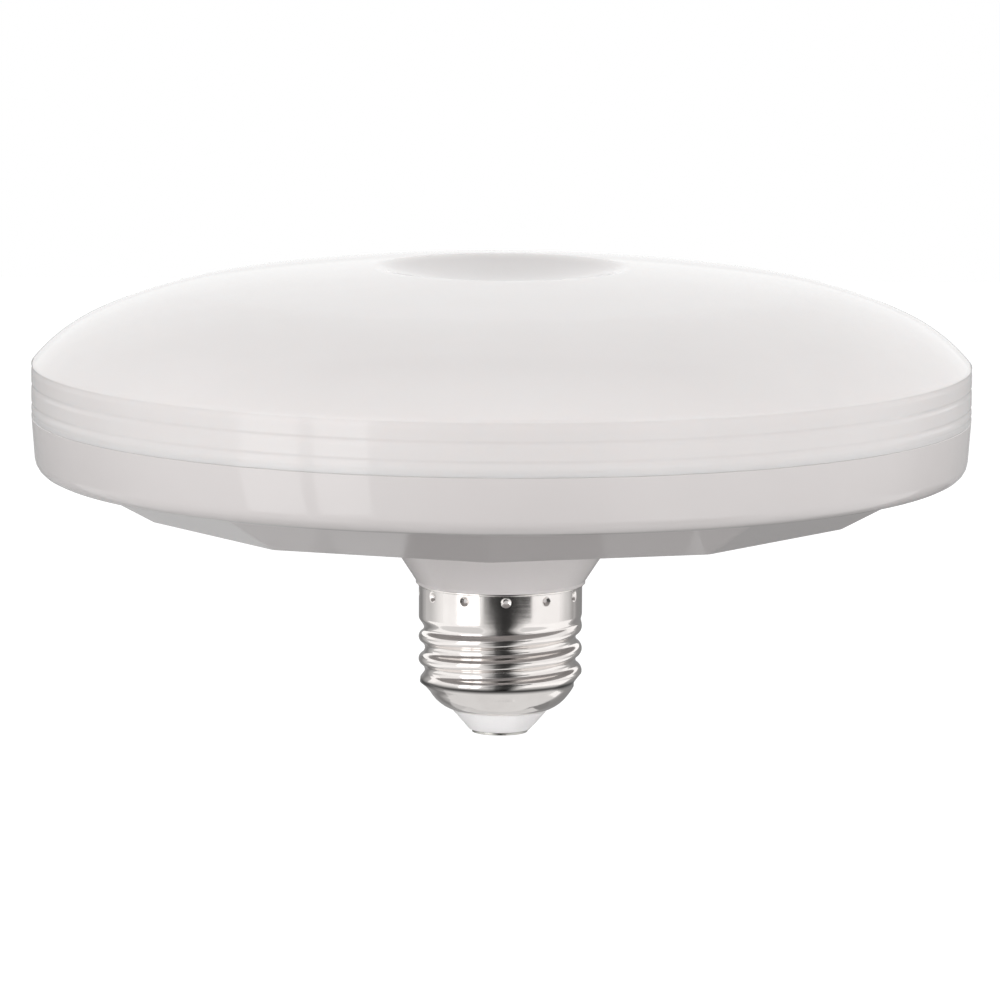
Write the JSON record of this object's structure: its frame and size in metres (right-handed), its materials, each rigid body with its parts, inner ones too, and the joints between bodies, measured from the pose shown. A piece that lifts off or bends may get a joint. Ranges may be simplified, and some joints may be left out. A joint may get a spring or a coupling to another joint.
{
  "type": "flat disc led lamp with e27 screw cap",
  "caption": "Flat disc LED lamp: domed opal diffuser with a central dimple over a shallow facetted housing with a conical neck and a threaded screw cap.",
  "frame": {"origin": "centre of the lowest face of the end contact", "axes": "+Z along the lamp's axis, from the screw cap towards the diffuser; -Y faces the viewer of the picture"},
  "size_m": [0.15, 0.15, 0.0751],
  "materials": {
    "opal_plastic": "opal polycarbonate, smooth and glossy",
    "housing_plastic": "light warm-grey moulded plastic, glossy",
    "cap_nickel": "bright nickel plate on rolled brass sheet",
    "insulator_plastic": "white moulded insulator",
    "contact_metal": "plated contact disc, lightly brushed",
    "spreader_aluminium": "stamped aluminium",
    "board_white": "white solder mask on an aluminium core",
    "led_package": "white package with yellow phosphor",
    "terminal_plastic": "natural nylon",
    "screw_steel": "zinc-plated steel",
    "board_green": "green solder mask on glass-fibre board",
    "capacitor_sleeve": "dark shrink sleeve on an aluminium can",
    "film_case": "yellow resin case",
    "ferrite": "dark grey ferrite",
    "copper_wire": "enamelled copper wire",
    "chip_black": "black moulded resin",
    "resistor_body": "lacquered resistor",
    "lead_live": "red insulated wire",
    "lead_neutral": "black insulated wire"
  },
  "bodies": {
    "root": {"diffuser": "opal_plastic", "housing": "housing_plastic", "cap_shell": "cap_nickel", "cap_insulator": "insulator_plastic", "end_contact": "contact_metal", "heat_spreader": "spreader_aluminium", "led_board": "board_white", "led_connector": "terminal_plastic", "driver_board": "board_green", "bulk_capacitor": "capacitor_sleeve", "output_capacitor": "capacitor_sleeve", "film_capacitor": "film_case", "inductor_core": "ferrite", "inductor_winding": "copper_wire", "bridge_rectifier": "chip_black", "control_chip": "chip_black", "fuse_resistor": "resistor_body", "live_lead": "lead_live", "neutral_lead": "lead_neutral", "led_lead_plus": "lead_live", "led_lead_minus": "lead_neutral", "board_screw_1": "screw_steel", "board_screw_2": "screw_steel", "board_screw_3": "screw_steel", "led_01": "led_package", "led_02": "led_package", "led_03": "led_package", "led_04": "led_package", "led_05": "led_package", "led_06": "led_package", "led_07": "led_package", "led_08": "led_package", "led_09": "led_package", "led_10": "led_package", "led_11": "led_package", "led_12": "led_package", "led_13": "led_package", "led_14": "led_package", "led_15": "led_package", "led_16": "led_package", "led_17": "led_package", "led_18": "led_package", "led_19": "led_package", "led_20": "led_package", "led_21": "led_package", "led_22": "led_package", "led_23": "led_package", "led_24": "led_package"}
  },
  "joints": []
}
